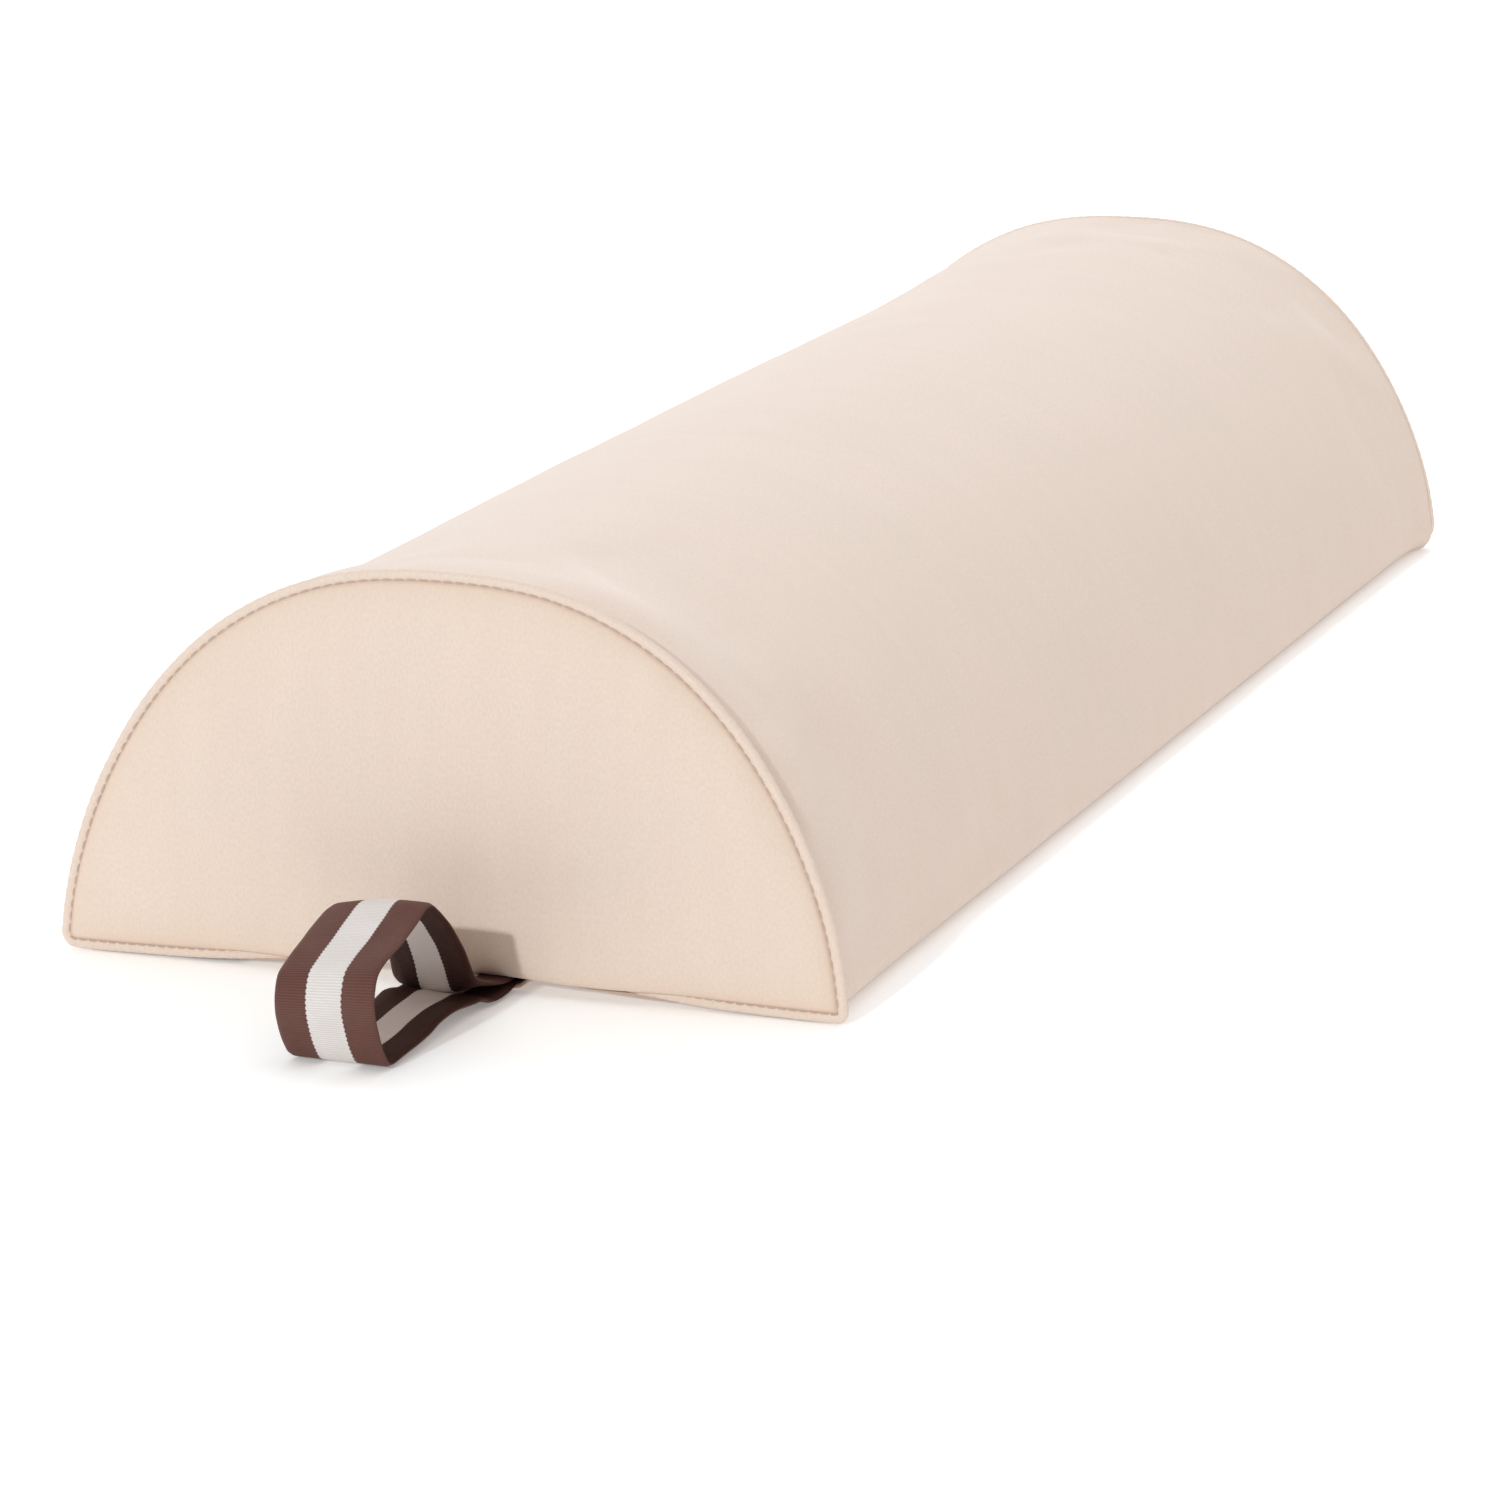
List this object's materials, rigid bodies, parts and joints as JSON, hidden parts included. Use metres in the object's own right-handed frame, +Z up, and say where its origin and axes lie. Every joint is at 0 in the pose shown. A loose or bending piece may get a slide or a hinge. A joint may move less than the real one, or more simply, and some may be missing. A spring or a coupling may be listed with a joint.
{
  "type": "half-round bolster pillow",
  "caption": "Half-round massage bolster: firm foam block in a sewn cream vinyl cover, with a striped webbing carry loop at one end and a zip hidden underneath.",
  "frame": {"origin": "centre of the underside, on the plane that the bolster rests on", "axes": "+X along the length, away from the webbing loop; +Y across, towards the long edge beside the zip; +Z up"},
  "size_m": [0.7474, 0.23, 0.114],
  "materials": {
    "foam": "matte",
    "cream_vinyl": "satin",
    "cream_thread": "matte",
    "striped_webbing": "matte",
    "brown_thread": "matte",
    "zip_tape": "matte",
    "zip_teeth": "satin",
    "zip_metal": "satin"
  },
  "bodies": {
    "bolster": {"foam_core": "foam", "barrel_panel": "cream_vinyl", "base_panel_front": "cream_vinyl", "base_panel_rear": "cream_vinyl", "end_panel_strap_end": "cream_vinyl", "end_panel_far_end": "cream_vinyl", "seam_lip_strap_end": "cream_vinyl", "seam_lip_far_end": "cream_vinyl", "end_seam_thread_strap_end": "cream_thread", "end_seam_thread_far_end": "cream_thread", "long_seam_thread_front": "cream_thread", "long_seam_thread_rear": "cream_thread", "zip_tape_front": "zip_tape", "zip_tape_rear": "zip_tape", "zip_teeth_front": "zip_teeth", "zip_teeth_rear": "zip_teeth", "zip_stitching_front": "cream_thread", "zip_stitching_rear": "cream_thread", "zip_stop_closed_end": "zip_teeth", "zip_stop_open_end": "zip_teeth", "strap_tail": "striped_webbing", "strap_bartack": "brown_thread"},
    "carry_strap": {"carry_strap": "striped_webbing"},
    "zip_slider": {"zip_slider": "zip_metal", "pull_pin": "zip_metal"},
    "zip_pull": {"zip_pull": "zip_metal"}
  },
  "joints": [
    {"name": "strap_fold", "type": "hinge", "parent": "bolster", "child": "carry_strap", "pos_m": [-0.3325, -0.0024, 0.0027], "axis": [0, 1, 0], "range_deg": [-80, 30]},
    {"name": "zip_slide", "type": "slide", "parent": "bolster", "child": "zip_slider", "axis": [1, 0, 0], "range_m": [-0.585, 0]},
    {"name": "pull_swing", "type": "hinge", "parent": "zip_slider", "child": "zip_pull", "pos_m": [0.2945, 0.07, 0.00145], "axis": [0, -1, 0], "range_deg": [0, 170]}
  ]
}
